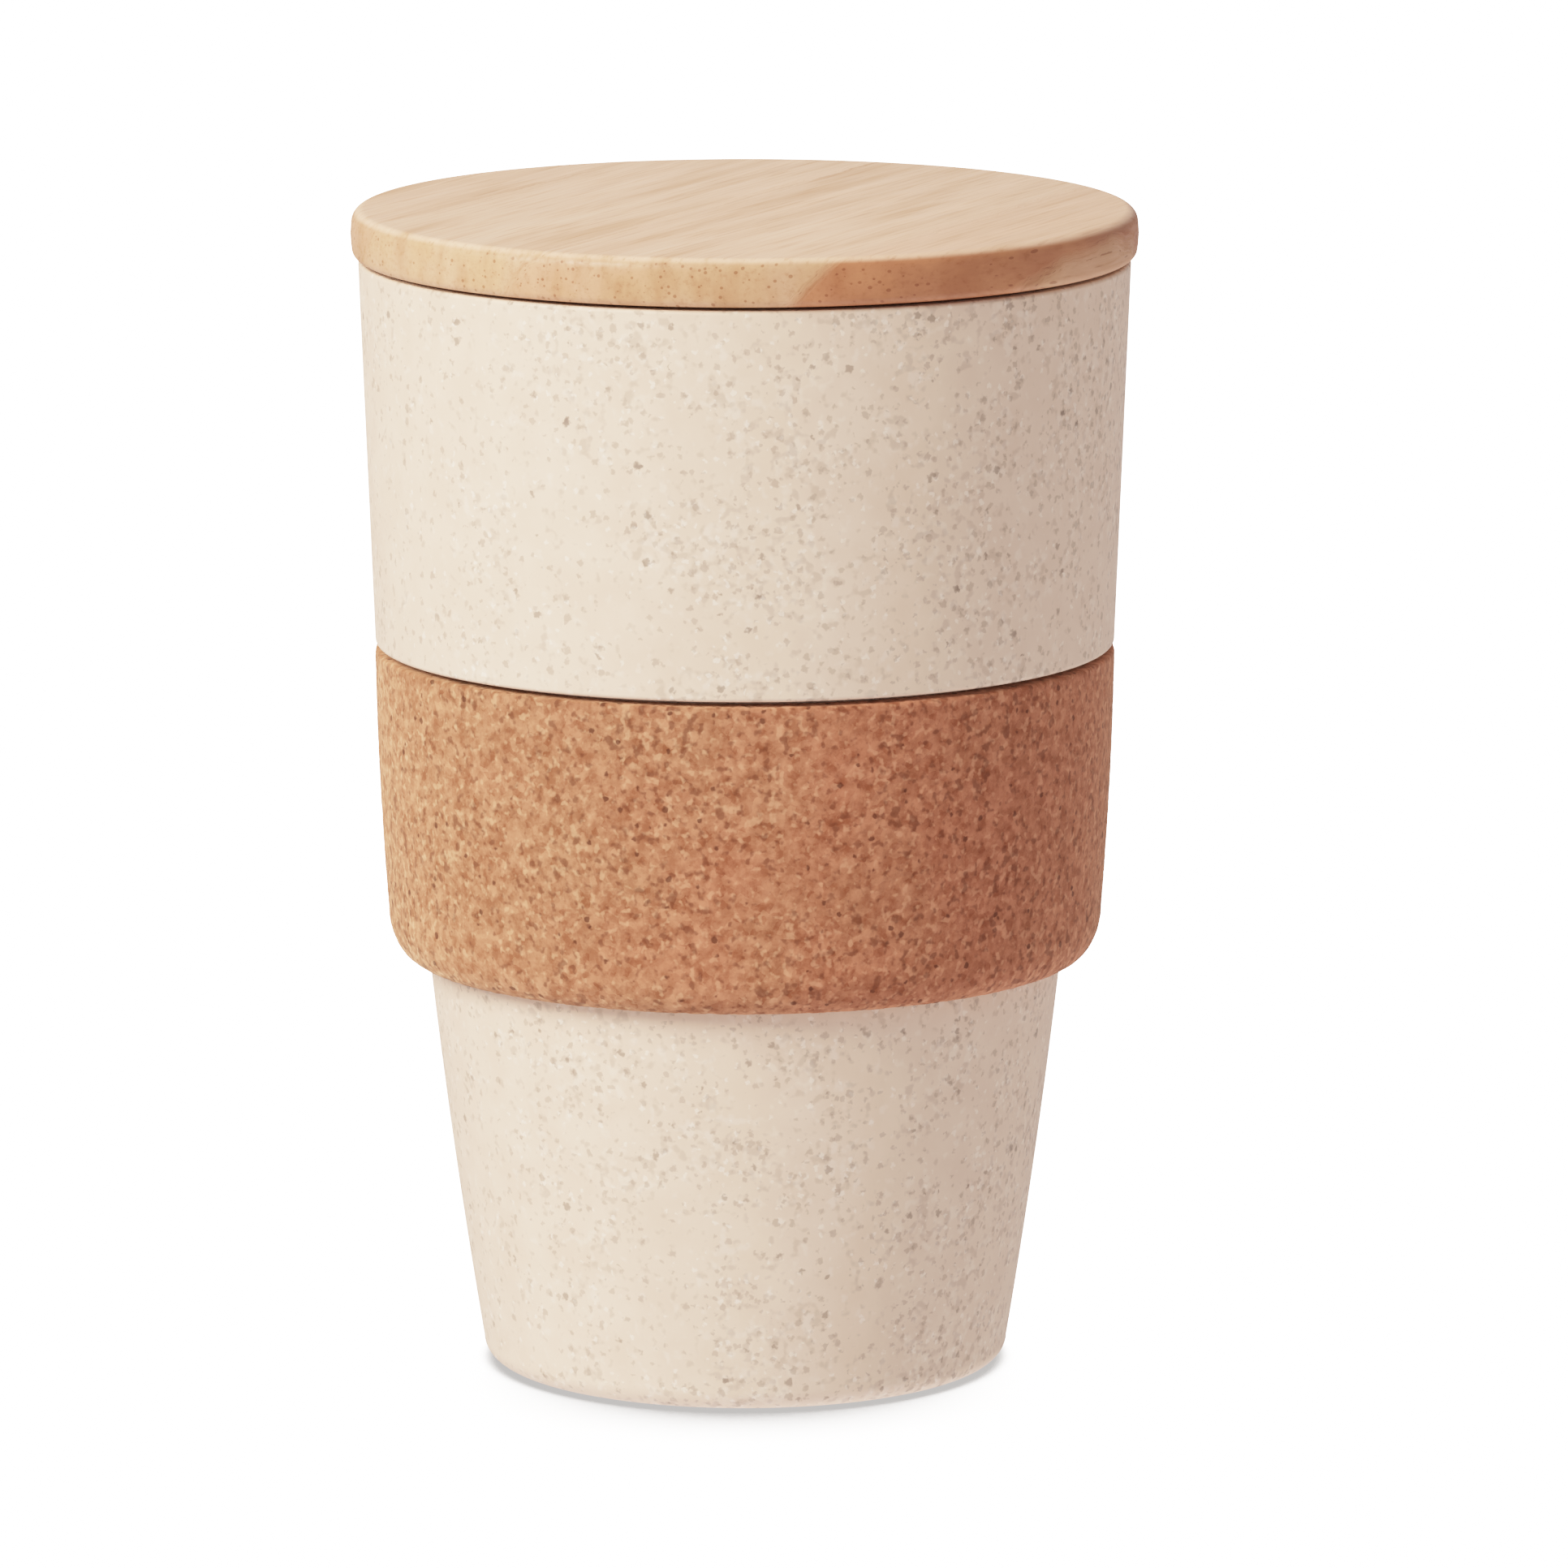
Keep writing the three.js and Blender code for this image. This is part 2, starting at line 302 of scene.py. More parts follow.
def liner_mesh():
    seat = RIM_HEIGHT - FLANGE_HEIGHT + WELD_GAP
    flange_radius = RIM_RADIUS - SHELL_WALL + FLANGE_WIDTH - WELD_GAP
    shoulder = PLUG_UNDERSIDE - PLUG_ROOM
    neck = shoulder - SHOULDER_STEP
    neck_radius = land_radius(shoulder) - SHOULDER_STEP
    step_height = WAIST_HEIGHT + SHELL_WALL
    waist_radius = WAIST_RADIUS - SHELL_WALL - WAIST_AIR - LINER_WALL
    floor_radius = side_radius(LINER_UNDERSIDE) - SHELL_WALL - FOOT_AIR - LINER_WALL
    floor = LINER_UNDERSIDE + LINER_WALL
    drop = LINER_WALL * math.tan(math.pi / 8)  # keeps the wall even along the shoulder's 45 degree slope

    def outside(z):
        return land_radius(z) + LINER_WALL

    corners = [
        (0, LINER_UNDERSIDE, 0),
        (floor_radius + LINER_WALL, LINER_UNDERSIDE, LINER_FLOOR_ROUND + LINER_WALL),
        (waist_radius + LINER_WALL, step_height, 0),
        (neck_radius + LINER_WALL, neck - drop, SHOULDER_ROUND),
        (outside(shoulder), shoulder - drop, SHOULDER_ROUND),
        (outside(seat), seat, 0),
        (flange_radius, seat, 0),
        (flange_radius, RIM_HEIGHT, WELD_ROUND),
        (land_radius(RIM_HEIGHT), RIM_HEIGHT, RIM_ROUND),
        (land_radius(shoulder), shoulder, SHOULDER_ROUND),
        (neck_radius, neck, SHOULDER_ROUND),
        (waist_radius, step_height, 0),
        (floor_radius, floor, LINER_FLOOR_ROUND),
        (0, floor, 0),
    ]
    return turned_mesh("inner_liner", rounded(corners))


# Cork sleeve, with its granules as relief
CORK_TURN_STEPS = 720
CORK_RISE_STEPS = 96
CORK_HEM_STEPS = 22
CORK_EDGE_STEPS = 5
CORK_BORE_STEPS = 10
GRAIN_SIZE = 1.0 * MM
GRAIN_CREVICE = 0.05 * MM
GRAIN_LIFT = 0.05 * MM
GRAIN_PIT = 0.16 * MM
PIT_SHARE = 0.05
CREVICE_WIDTH = 0.22  # in grains
PIT_RADIUS = 0.5  # in grains
GRAIN_DRAW = 31.7  # spreads the grains' places before each draws its own height


def cork_relief(point):
    """How far the cork's surface lies below its turned shape at a point."""
    near, seeds = noise.voronoi(Vector(point) / GRAIN_SIZE)
    crevice = max(0.0, 1 - (near[1] - near[0]) / CREVICE_WIDTH)
    grain = noise.cell(seeds[0] * GRAIN_DRAW)
    pit = GRAIN_PIT if grain > 1 - 2 * PIT_SHARE else 0
    bowl = max(0.0, 1 - near[0] / PIT_RADIUS)
    return GRAIN_CREVICE * crevice + GRAIN_LIFT * (0.5 + 0.5 * grain) + pit * bowl


def sleeve_mesh():
    def bore(z):
        return side_radius(z) + SLEEVE_SLIP

    top_radius = LEDGE_RADIUS + SLEEVE_PROUD
    hem_radius = bore(SLEEVE_BOTTOM) + HEM_THICKNESS
    height = SLEEVE_TOP - SLEEVE_BOTTOM
    hem_top = SLEEVE_BOTTOM + HEM_UP

    def outside(z):
        share = (z - SLEEVE_BOTTOM) / height
        return lerp(hem_radius, top_radius, share) + bow_at(share, SLEEVE_BOW)

    hem_start = (outside(hem_top) - HEM_ACROSS, SLEEVE_BOTTOM)
    hem = quarter(hem_start, HEM_ACROSS, HEM_UP, CORK_HEM_STEPS)[:-1]
    top_edge = SLEEVE_TOP - SLEEVE_TOP_ROUND
    rise = stations(hem_top, top_edge, CORK_RISE_STEPS, outside)
    edge_start = outside(top_edge) - SLEEVE_TOP_ROUND
    edge = quarter((0, 0), SLEEVE_TOP_ROUND, SLEEVE_TOP_ROUND, CORK_EDGE_STEPS)[-2::-1]
    edge = [(edge_start + r, SLEEVE_TOP - z, 0) for r, z, _ in edge]
    inner = stations(SLEEVE_TOP, SLEEVE_BOTTOM, CORK_BORE_STEPS, bore)
    points = rounded([*hem, *rise, *edge, *inner])
    mesh = turned_mesh("cork_sleeve", points, CORK_TURN_STEPS)
    outer_rings = len(hem) + len(rise) + len(edge)
    normals = [v.normal.copy() for v in mesh.vertices]
    for index in range(outer_rings * CORK_TURN_STEPS):
        vertex = mesh.vertices[index]
        vertex.co = vertex.co - normals[index] * cork_relief(vertex.co)
    mesh.update()
    return mesh


def disc_mesh():
    face_radius = LID_RADIUS - LID_EDGE_BOW
    spigot_bottom = DISC_LOW[2]
    groove_radius = PLUG_HIGH[0] - GROOVE_DEPTH
    spigot_radius = groove_radius - PLUG_WALL - WELD_GAP
    corners = [
        (0, spigot_bottom, 0),
        (spigot_radius, spigot_bottom, SPIGOT_ROUND),
        (spigot_radius, LID_UNDERSIDE, 0),
        (face_radius, LID_UNDERSIDE, LID_UNDER_ROUND),
        (LID_RADIUS, LID_MIDDLE, LID_EDGE_ROUND),
        (face_radius, LID_TOP, LID_TOP_ROUND),
        (0, LID_TOP, 0),
    ]
    return turned_mesh("lid_disc", rounded(corners))


def plug_mesh():
    radius = PLUG_HIGH[0]
    top = PLUG_HIGH[2]
    groove_top = top - GROOVE_LIP
    groove_bottom = groove_top - GROOVE_HEIGHT
    groove_radius = radius - GROOVE_DEPTH
    bore = groove_radius - PLUG_WALL
    floor = PLUG_UNDERSIDE + PLUG_FLOOR
    corners = [
        (0, PLUG_UNDERSIDE, 0),
        (radius, PLUG_UNDERSIDE, PLUG_ROUND),
        (radius, groove_bottom, GROOVE_ROUND),
        (groove_radius, groove_bottom, 0),
        (groove_radius, groove_top, 0),
        (radius, groove_top, GROOVE_ROUND),
        (radius, top, GROOVE_ROUND),
        (bore, top, 0),
        (bore, floor, 0),
        (0, floor, 0),
    ]
    return turned_mesh("lid_plug", rounded(corners))


def gasket_mesh():
    bottom, top = GASKET_LOW[2], GASKET_HIGH[2]
    inner = PLUG_HIGH[0] - GROOVE_DEPTH + WELD_GAP
    band = inner + GASKET_BAND
    pitch = (top - bottom) / FIN_COUNT
    corners = [(inner, bottom, 0), (band, bottom, FIN_TIP_ROUND)]
    for i in range(FIN_COUNT):
        root = bottom + pitch * (i + 0.5) - FIN_RISE / 2
        tip = root + FIN_RISE
        reach = land_radius(tip) - GASKET_GAP
        corners += [
            (band, root - FIN_ROOT / 2, FIN_TIP_ROUND),
            (reach, tip - FIN_TIP / 2, FIN_TIP_ROUND),
            (reach, tip + FIN_TIP / 2, FIN_TIP_ROUND),
            (band, root + FIN_ROOT / 2, FIN_TIP_ROUND),
        ]
    corners += [(band, top, FIN_TIP_ROUND), (inner, top, 0)]
    return turned_mesh("lid_gasket", rounded(corners))


# Materials
NOISE_LOW, NOISE_HIGH = 0.3, 0.7  # where most values of a noise lie
BLOT_FULL = 0.7  # noise level at which a blot has its full colour
BLOT_DETAIL = 1.5
SPECK_OUT, SPECK_IN = 0.3, 0.5  # reach of a speck's soft edge, in smallest radii


class Look:
    """Short calls for building one material's nodes on the piece's own coordinates."""

    def __init__(self, name, roughness):
        self.material = bpy.data.materials.new(name)
        self.material.use_nodes = True
        self.tree = self.material.node_tree
        self.shader = self.tree.nodes["Principled BSDF"]
        self.shader.inputs["Roughness"].default_value = roughness
        self.coords = self.tree.nodes.new("ShaderNodeTexCoord").outputs["Object"]

    def node(self, kind, inputs, **settings):
        """A node with its settings, its inputs linked from sockets or set to values."""
        node = self.tree.nodes.new(kind)
        for key, value in settings.items():
            setattr(node, key, value)
        for key, value in inputs.items():
            if isinstance(value, bpy.types.NodeSocket):
                self.tree.links.new(value, node.inputs[key])
            else:
                node.inputs[key].default_value = value
        return node

    def link(self, socket, name):
        self.tree.links.new(socket, self.shader.inputs[name])

    def math(self, operation, a, b):
        return self.node("ShaderNodeMath", {0: a, 1: b}, operation=operation).outputs[0]

    def vector(self, operation, a, b):
        return self.node("ShaderNodeVectorMath", {0: a, 1: b}, operation=operation).outputs[0]

    def parts(self, vector):
        """The X, Y and Z of a vector."""
        return self.node("ShaderNodeSeparateXYZ", {0: vector}).outputs

    def noise(self, size, detail=2.0, rough=0.5, vector=None, output="Fac"):
        inputs = {"Vector": vector or self.coords, "Scale": 1 / size, "Detail": detail, "Roughness": rough}
        return self.node("ShaderNodeTexNoise", inputs).outputs[output]

    def cells(self, size, vector):
        return self.node("ShaderNodeTexVoronoi", {"Vector": vector, "Scale": 1 / size})

    def fade(self, value, low, high, to_low=0.0, to_high=1.0, straight=False):
        """Change from to_low to to_high as value goes from low to high, smooth unless straight."""
        inputs = {0: value, 1: low, 2: high, 3: to_low, 4: to_high}
        kind = "LINEAR" if straight else "SMOOTHSTEP"
        return self.node("ShaderNodeMapRange", inputs, interpolation_type=kind).outputs[0]

    def spread(self, value, to_low=0.0, to_high=1.0):
        """Change from to_low to to_high over the values that a noise mostly takes."""
        return self.fade(value, NOISE_LOW, NOISE_HIGH, to_low, to_high)

    def mix(self, share, a, b, blend="MIX"):
        """Two colours mixed. Inputs 6 and 7 and output 2 are the node's colour sockets."""
        inputs = {0: share, 6: a, 7: b}
        return self.node("ShaderNodeMix", inputs, data_type="RGBA", blend_type=blend).outputs[2]

    def lay(self, colour, mask, strength, over):
        """A colour with another laid over it where the mask is."""
        return self.mix(self.math("MULTIPLY", mask, strength), colour, over)

    def tinted(self, colour, tint):
        return self.mix(1.0, colour, tint, "MULTIPLY")

    def channels(self, colour):
        return self.node("ShaderNodeSeparateColor", {0: colour}).outputs

    def stirred(self, size, amount):
        """The coordinates pushed about by noise, so that shapes drawn on them aren't round."""
        push = self.noise(size, 1.0, output="Color")
        push = self.vector("SUBTRACT", push, (0.5, 0.5, 0.5))
        push = self.vector("MULTIPLY", push, (amount, amount, amount))
        return self.vector("ADD", self.coords, push)

    def bump(self, height, strength, distance):
        inputs = {"Height": height, "Strength": strength, "Distance": distance}
        self.link(self.node("ShaderNodeBump", inputs).outputs[0], "Normal")

    def scatter(self, weight, reach):
        """Light that spreads under the surface, with its reach in red, green and blue."""
        self.shader.inputs["Subsurface Weight"].default_value = weight
        self.shader.inputs["Subsurface Radius"].default_value = reach
        self.shader.inputs["Subsurface Scale"].default_value = 1.0


def rgb(red, green, blue):
    """Linear colour of an sRGB colour given in 0 to 255."""
    def linear(value):
        value /= 255
        return value / 12.92 if value <= 0.04045 else ((value + 0.055) / 1.055) ** 2.4
    return (linear(red), linear(green), linear(blue), 1.0)


def specks(look, vector, cell, small, large, share, crowd=None):
    """Mask of soft specks of radius small to large, in a share of cells of that size."""
    cells = look.cells(cell, vector)
    chance = look.channels(cells.outputs["Color"])
    radius = look.fade(chance[1], 0.0, 1.0, small / cell, large / cell)
    inside = look.math("SUBTRACT", radius, cells.outputs["Distance"])
    mask = look.fade(inside, -SPECK_OUT * small / cell, SPECK_IN * small / cell)
    limit = look.math("MULTIPLY", crowd, share) if crowd else share
    present = look.math("LESS_THAN", chance[0], limit)
    return look.math("MULTIPLY", mask, present)


def blots(look, size, crowd, start, offset):
    """Mask of irregular blots that start where noise of that size, raised by the crowd, passes a level."""
    moved = look.vector("ADD", look.coords, (offset * MM, offset * MM, offset * MM))
    level = look.math("ADD", look.noise(size, BLOT_DETAIL, 0.5, moved), crowd)
    return look.fade(level, start, BLOT_FULL)


def blotted(look, colour, crowd, layers):
    """A colour with layers of blots over it, each given as size, start, offset, strength and colour."""
    for size, start, offset, strength, over in layers:
        colour = look.lay(colour, blots(look, size, crowd, start, offset), strength, over)
    return colour


# Blots in the moulding: size, start, offset, strength, colour
COMPOSITE_BLOTS = (
    (1.4 * MM, 0.53, 31, 0.25, rgb(250, 231, 212)),
    (1.25 * MM, 0.52, 0, 0.32, rgb(154, 130, 113)),
)

# Specks in the moulding: shift, cell, smallest and largest radius, share of cells, strength, colour
COMPOSITE_SPECKS = (
    ((0.031, 0, 0), 1.2 * MM, 0.22 * MM, 0.36 * MM, 0.9, 0.5, rgb(250, 231, 212)),
    ((0, 0, 0), 1.2 * MM, 0.24 * MM, 0.4 * MM, 0.9, 0.35, rgb(138, 116, 101)),
    ((0, 0.047, 0), 1.7 * MM, 0.34 * MM, 0.52 * MM, 0.85, 0.39, rgb(132, 110, 96)),
    ((0, 0, 0), 3.0 * MM, 0.34 * MM, 0.54 * MM, 0.8, 0.54, rgb(112, 92, 79)),
)


def composite(name, roughness):
    """Cream moulding with plant-fibre specks: irregular brown blots in loose clusters, and pale flecks.
    They lie thinner toward -X, the left of the photograph."""
    look = Look(name, roughness)
    crowd = look.fade(look.noise(9 * MM, 2.0, 0.6), 0.35, 0.65, 0.25, 1.0)
    thinner = look.fade(look.parts(look.coords)[0], -35 * MM, 5 * MM, 0.6, 1.0)
    crowd = look.math("MULTIPLY", crowd, thinner)
    haze = look.fade(crowd, 0.25, 1.0, -0.06, 0.03)
    mottle = look.noise(5 * MM, 3.0, 0.55)
    colour = look.mix(look.spread(mottle), rgb(225, 196, 171), rgb(231, 203, 178))
    colour = blotted(look, colour, haze, COMPOSITE_BLOTS)
    stirred = look.stirred(0.5 * MM, 0.9 * MM)
    for shift, cell, small, large, share, strength, over in COMPOSITE_SPECKS:
        mask = specks(look, look.vector("ADD", stirred, shift), cell, small, large, share, crowd)
        colour = look.lay(colour, mask, strength, over)
    look.link(colour, "Base Color")
    grain = look.noise(0.45 * MM, 3.0)
    look.link(look.spread(grain, roughness - 0.06, roughness + 0.08), "Roughness")
    look.bump(grain, strength=0.1, distance=0.1 * MM)
    look.shader.inputs["Specular IOR Level"].default_value = 0.35
    return look.material


# Blots in the cork: size, start, offset, strength, colour
CORK_BLOTS = (
    (0.95 * MM, 0.55, 31, 0.5, rgb(230, 170, 128)),
    (1.05 * MM, 0.54, 0, 0.6, rgb(108, 50, 25)),
)
# Painted light: a golden tint for painted sheen on the key-lit side at -X, a redder tint for painted shade at
# +X, and the span between them
CORK_PAINTED_SHEEN = (0.98, 1.14, 1.17, 1)
CORK_PAINTED_SHADE = (1.0, 0.885, 0.94, 1)
CORK_SHEEN_TO_SHADE = 40 * MM
CORK_WANDER = 10 * MM


def cork(name):
    """Pressed cork granules, each with its own brown, with dark bark bits, pale chips and fine pores.
    The hue runs from golden at -X to redder at +X, as in the photograph: painted sheen on the side the key
    lights and painted shade on the far side."""
    look = Look(name, roughness=0.85)
    drift = look.spread(look.noise(9 * MM), -0.03, 0.03)
    mass = look.noise(1.5 * MM, 3.0, 0.62)
    colour = look.mix(look.fade(mass, 0.32, 0.68), rgb(150, 83, 50), rgb(204, 137, 100))
    stirred = look.stirred(0.6 * MM, 0.5 * MM)
    tone = look.channels(look.cells(0.9 * MM, stirred).outputs["Color"])
    chips = look.mix(tone[0], rgb(150, 80, 48), rgb(207, 142, 104))
    colour = look.mix(0.4, colour, chips)
    colour = blotted(look, colour, drift, CORK_BLOTS)
    bark = specks(look, stirred, 1.8 * MM, 0.26 * MM, 0.42 * MM, 0.35)
    colour = look.lay(colour, bark, 0.75, rgb(84, 30, 6))
    # Painted sheen and shade: the tint runs from the key-lit side at -X to the shaded side at +X, and noise
    # makes its course waver
    wander = look.spread(look.noise(14 * MM), -CORK_WANDER, CORK_WANDER)
    place = look.math("ADD", look.parts(look.coords)[0], wander)
    painted_sheen_and_shade = look.mix(look.fade(place, -CORK_SHEEN_TO_SHADE, CORK_SHEEN_TO_SHADE), CORK_PAINTED_SHEEN, CORK_PAINTED_SHADE)
    look.link(look.tinted(colour, painted_sheen_and_shade), "Base Color")
    pores = look.noise(0.35 * MM, 3.0)
    look.link(look.spread(pores, 0.78, 0.95), "Roughness")
    look.bump(pores, strength=0.18, distance=0.15 * MM)
    look.shader.inputs["Diffuse Roughness"].default_value = 0.8
    look.shader.inputs["Specular IOR Level"].default_value = 0.2
    look.shader.inputs["Sheen Weight"].default_value = 0.16
    look.shader.inputs["Sheen Roughness"].default_value = 0.5
    look.shader.inputs["Sheen Tint"].default_value = rgb(255, 236, 196)
    return look.material


GRAIN_ANGLE = math.radians(65)
STRIP_LEAN = 0.93
STRIP_SPAN = 50 * MM
STRIP_SOFT = 1.0 * MM
STRIP_WAVER = 2.5 * MM
STRIP_SLIDE = 230 * MM  # sets the grain of a deep strip apart from that of a pale one

# Where each strip starts across the lid, and how deep its colour is
STRIPS = (
    (-50 * MM, 0.3),
    (-44.8 * MM, 1.0),
    (-26.0 * MM, 0.15),
    (-6 * MM, 0.2),
    (-1 * MM, 0.3),
    (6.5 * MM, 0.02),
    (33 * MM, 0.26),
)

# How the grain is drawn out along the strips
FIBRE_STRETCH = (0.04, 1.0, 1.0)
BAND_STRETCH = (0.08, 1.0, 0.4)
VESSEL_STRETCH = (0.05, 1.0, 1.0)


def set_strips(ramp):
    """Sets a ramp to the depths of the strips, with a soft change from each to the next."""
    stops = [(0.0, STRIPS[0][1])]
    for (_, before), (start, after) in zip(STRIPS, STRIPS[1:]):
        for place, depth in ((start - STRIP_SOFT, before), (start + STRIP_SOFT, after)):
            stops.append((0.5 + place / 2 / STRIP_SPAN, depth))
    for i, (position, depth) in enumerate(stops):
        stop = ramp.elements[0] if i == 0 else ramp.elements.new(position)
        stop.position = position
        stop.color = (depth, depth, depth, 1)
    ramp.elements.remove(ramp.elements[-1])


def bamboo(name):
    """Laminated bamboo strips: long fibres and vessel lines on the faces, deeper end grain round the edge."""
    look = Look(name, roughness=0.5)
    inputs = {"Vector": look.coords, "Angle": -GRAIN_ANGLE}
    turn = look.node("ShaderNodeVectorRotate", inputs, rotation_type="Z_AXIS")
    along, across, up = look.parts(turn.outputs[0])
    waver = look.math("SUBTRACT", look.noise(6 * MM, 3.0, 0.6), 0.5)
    waver = look.math("MULTIPLY", waver, STRIP_WAVER)
    lean = look.math("MULTIPLY", look.math("SUBTRACT", up, LID_MIDDLE), STRIP_LEAN)
    place = look.math("ADD", look.math("ADD", across, lean), waver)
    strips = look.node("ShaderNodeValToRGB", {0: look.fade(place, -STRIP_SPAN, STRIP_SPAN, straight=True)})
    set_strips(strips.color_ramp)
    depth = strips.outputs[0]
    slid = look.math("ADD", along, look.math("MULTIPLY", depth, STRIP_SLIDE))
    shifted = look.node("ShaderNodeCombineXYZ", {0: slid, 1: across, 2: up}).outputs[0]
    fibres = look.noise(0.6 * MM, 3.0, 0.6, look.vector("MULTIPLY", shifted, FIBRE_STRETCH))
    bands = look.noise(3 * MM, 2.0, 0.5, look.vector("MULTIPLY", shifted, BAND_STRETCH))
    drawn = look.vector("MULTIPLY", shifted, VESSEL_STRETCH)
    vessels = specks(look, drawn, 0.8 * MM, 0.1 * MM, 0.22 * MM, 0.7)
    normal = look.node("ShaderNodeNewGeometry", {}).outputs["Normal"]
    edge = look.fade(look.parts(normal)[2], 0.5, 0.9, 1.0, 0.0)
    tint = look.fade(look.noise(7 * MM), 0.35, 0.65)
    face_tone = look.mix(depth, rgb(237, 194, 161), rgb(231, 185, 152))
    pale_edge = look.mix(tint, rgb(204, 158, 118), rgb(208, 164, 129))
    deep_edge = look.mix(tint, rgb(176, 112, 75), rgb(188, 124, 84))
    colour = look.mix(edge, face_tone, look.mix(depth, pale_edge, deep_edge))
    # Grain: noise, value where its tint starts and is full, strength, tint
    grain = (
        (bands, 0.45, 0.75, 0.6, rgb(226, 210, 190)),
        (bands, 0.5, 0.25, 0.6, (1.1, 1.12, 1.15, 1)),
        (fibres, 0.5, 0.75, 0.5, rgb(216, 198, 178)),
        (fibres, 0.5, 0.25, 0.5, (1.12, 1.14, 1.16, 1)),
    )
    for value, start, full, strength, over in grain:
        mask = look.fade(value, start, full, 0.0, strength)
        colour = look.mix(mask, colour, look.tinted(colour, over))
    pored = look.tinted(colour, rgb(178, 142, 106))
    colour = look.lay(colour, vessels, look.fade(edge, 0.0, 1.0, 0.2, 0.6), pored)
    look.link(colour, "Base Color")
    look.link(look.spread(fibres, 0.42, 0.58), "Roughness")
    look.bump(fibres, strength=0.15, distance=0.1 * MM)
    look.shader.inputs["Specular IOR Level"].default_value = 0.4
    return look.material


def moulded_plastic(name):
    """Milky moulded plastic with the faint haze of a textured tool."""
    look = Look(name, roughness=0.42)
    haze = look.noise(6 * MM, 3.0)
    look.link(look.mix(look.spread(haze), rgb(219, 210, 192), rgb(226, 218, 201)), "Base Color")
    grain = look.noise(0.25 * MM)
    look.link(look.spread(grain, 0.36, 0.5), "Roughness")
    look.bump(grain, strength=0.06, distance=0.05 * MM)
    look.scatter(0.15, (1.2 * MM, 1.0 * MM, 0.8 * MM))
    return look.material


def silicone(name):
    """Soft milky silicone, with a dusty bloom."""
    look = Look(name, roughness=0.48)
    bloom = look.noise(2.5 * MM, 3.0)
    look.link(look.mix(look.spread(bloom), rgb(202, 199, 191), rgb(214, 211, 203)), "Base Color")
    look.link(look.spread(bloom, 0.42, 0.56), "Roughness")
    look.bump(look.noise(0.2 * MM), strength=0.05, distance=0.05 * MM)
    look.scatter(0.3, (1.0 * MM, 0.9 * MM, 0.8 * MM))
    return look.material


piece("outer_shell", shell_mesh(), composite("speckled_composite", 0.55), "cup")
piece("inner_liner", liner_mesh(), composite("liner_composite", 0.42), "cup")
piece("cork_sleeve", sleeve_mesh(), cork("cork"), "sleeve")
piece("lid_disc", disc_mesh(), bamboo("bamboo"), "lid")
piece("lid_plug", plug_mesh(), moulded_plastic("plug_plastic"), "lid")
piece("lid_gasket", gasket_mesh(), silicone("silicone"), "lid")

# Camera, fitted to the photograph: distance, height of view and framing
PHOTO_WIDTH = 1932
PIXELS_PER_METRE = 10503.0
CAMERA_DISTANCE = 1.373
CAMERA_ELEVATION = math.radians(10.276)
AIM_HEIGHT = 68.5 * MM
AXIS_LEFT_OF_CENTRE = 48.0 / PIXELS_PER_METRE
SENSOR_WIDTH = 36
CLIP_END = 20


def add_camera():
    data = bpy.data.cameras.new("camera")
    data.sensor_width = SENSOR_WIDTH
    data.lens = SENSOR_WIDTH * PIXELS_PER_METRE * CAMERA_DISTANCE / PHOTO_WIDTH
    data.clip_end = CLIP_END
    camera = bpy.data.objects.new("camera", data)
    back = CAMERA_DISTANCE * math.cos(CAMERA_ELEVATION)
    rise = CAMERA_DISTANCE * math.sin(CAMERA_ELEVATION)
    camera.location = (AXIS_LEFT_OF_CENTRE, -back, AIM_HEIGHT + rise)
    camera.rotation_euler = (math.pi / 2 - CAMERA_ELEVATION, 0, 0)
    bpy.context.collection.objects.link(camera)
    bpy.context.scene.camera = camera


# Studio: a white light table, an even room that is brighter below, and a soft key from the front left
FLOOR_HALF = 4.0
SWEEP_HEIGHT = 4.0
FLOOR_DROP = 0.05 * MM
FLOOR_GLOW = 6.0
FLOOR_COLOUR = (1, 0.96, 0.93, 1)
SHADE_GLOW = 0.68
CONTACT_REACH = 2.4 * MM
CONTACT_OPEN = (0.35, 0.95)  # how open the floor is where the shade is full, and where it ends
CONTACT_SAMPLES = 8
FRONT_REACH = 30 * MM
FRONT_LEAN = math.radians(55)
FRONT_OPEN = (0.32, 0.67)
FRONT_SAMPLES = 16
ROOM_ABOVE = 0.58
ROOM_BELOW = 0.71
ROOM_NADIR = 2.3
ROOM_BLEND = 0.15
NADIR_START = 0.35
ROOM_COLOUR = (1.03, 0.975, 0.995, 1.0)
KEY_AZIMUTH = math.radians(-52)
KEY_ELEVATION = math.radians(35)
KEY_DISTANCE = 1.8
KEY_SIZE = 1.0
KEY_POWER = 52.5
KEY_COLOUR = (1.0, 1.05, 1.0)

# Tone of the picture: bright values roll off as a camera's do
TONE_TOP = 1.03
TONE_BEND = 1.85
TONE_WHITE = 6.0
TONE_STEPS = 16
ALL_COLOURS = 3  # place of the curve for all colours together


